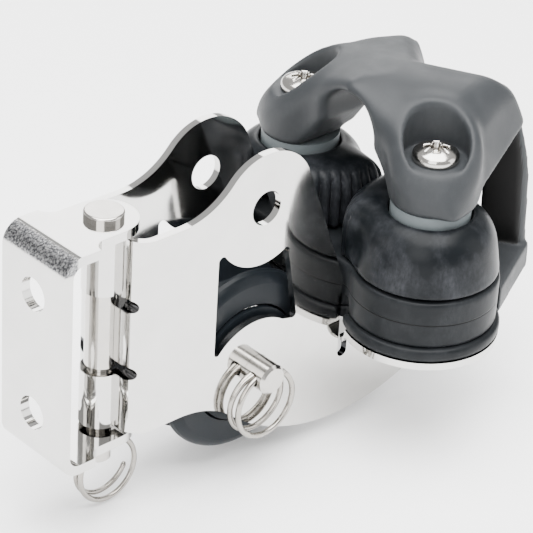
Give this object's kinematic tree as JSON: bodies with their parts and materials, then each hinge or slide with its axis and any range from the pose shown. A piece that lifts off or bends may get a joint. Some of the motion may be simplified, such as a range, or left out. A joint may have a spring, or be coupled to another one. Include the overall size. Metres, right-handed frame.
{
  "type": "hinged lead block with cam cleat",
  "caption": "Hinged lead block: a wall bracket carries folded steel cheeks with a roller sheave, a sprung cam cleat and a bridging fairlead.",
  "frame": {"origin": "middle of the two mounting holes, on the outer face of the hinge bracket", "axes": "+X from the mounting face towards the cleat, +Z along the hinge pin towards its head, -Y towards the side with the axle's split ring"},
  "size_m": [0.1198, 0.0704, 0.0741],
  "materials": {
    "polished_stainless": "polished stainless sheet and pins, faint grain",
    "spring_wire": "bright drawn stainless wire",
    "bearing_steel": "ground and polished balls",
    "black_plastic": "moulded black nylon, satin",
    "wheel_plastic": "moulded black acetal, satin",
    "fairlead_plastic": "moulded dark grey nylon, fine spark texture",
    "bush_plastic": "mid grey acetal"
  },
  "bodies": {
    "bracket": {"hinge_bracket": "polished_stainless", "hinge_pin": "polished_stainless", "hinge_sleeve": "polished_stainless"},
    "hinge_ring": {"hinge_split_ring": "spring_wire"},
    "block": {"knuckle_fold": "polished_stainless", "near_cheek_upper": "polished_stainless", "near_cheek_lower": "polished_stainless", "near_shelf": "polished_stainless", "far_cheek_upper": "polished_stainless", "far_cheek_lower": "polished_stainless", "far_shelf": "polished_stainless", "axle_pin": "polished_stainless", "hub_washers": "polished_stainless", "sheave_hub": "polished_stainless", "near_ball_retainer": "wheel_plastic", "far_ball_retainer": "wheel_plastic", "base_pad": "black_plastic", "cleat_base": "black_plastic", "near_cam_bush": "bush_plastic", "far_cam_bush": "bush_plastic", "near_cam_spring": "spring_wire", "far_cam_spring": "spring_wire", "fairlead": "fairlead_plastic", "cleat_screws": "polished_stainless", "cleat_washers": "polished_stainless", "cleat_nuts": "polished_stainless"},
    "axle_ring": {"axle_split_ring": "spring_wire"},
    "wheel": {"sheave": "wheel_plastic"},
    "balls": {"near_ball_row": "bearing_steel", "far_ball_row": "bearing_steel"},
    "near_jaw": {"near_cam": "black_plastic"},
    "far_jaw": {"far_cam": "black_plastic"}
  },
  "joints": [
    {"name": "hinge_swing", "type": "hinge", "parent": "bracket", "child": "block", "pos_m": [0.0164, 0, 0], "axis": [0, 0, 1], "range_deg": [-75, 75]},
    {"name": "sheave_spin", "type": "hinge", "parent": "block", "child": "wheel", "pos_m": [0.0483, 0, -0.0173], "axis": [0, 1, 0], "continuous": true},
    {"name": "ball_orbit", "type": "hinge", "parent": "block", "child": "balls", "pos_m": [0.0483, 0, -0.0173], "axis": [0, 1, 0], "continuous": true},
    {"name": "near_cam_open", "type": "hinge", "parent": "block", "child": "near_jaw", "pos_m": [0.0845, -0.019, 0], "axis": [0, 0, -1], "range_deg": [0, 45], "stiffness_Nm_per_rad": 0.02, "springref_deg": -34.38},
    {"name": "far_cam_open", "type": "hinge", "parent": "block", "child": "far_jaw", "pos_m": [0.0845, 0.019, 0], "axis": [0, 0, 1], "range_deg": [0, 45], "stiffness_Nm_per_rad": 0.02, "springref_deg": -34.38},
    {"name": "axle_ring_swing", "type": "hinge", "parent": "block", "child": "axle_ring", "pos_m": [0.0483, -0.01205, -0.0173], "axis": [-1, 0, 0], "range_deg": [0, 80]},
    {"name": "hinge_ring_swing", "type": "hinge", "parent": "bracket", "child": "hinge_ring", "pos_m": [0.0164, 0, -0.0264], "axis": [1, 0, 0], "range_deg": [-40, 60]}
  ],
  "couplings": [
    {"joint": "ball_orbit", "follows": "sheave_spin", "ratio": 0.555}
  ]
}
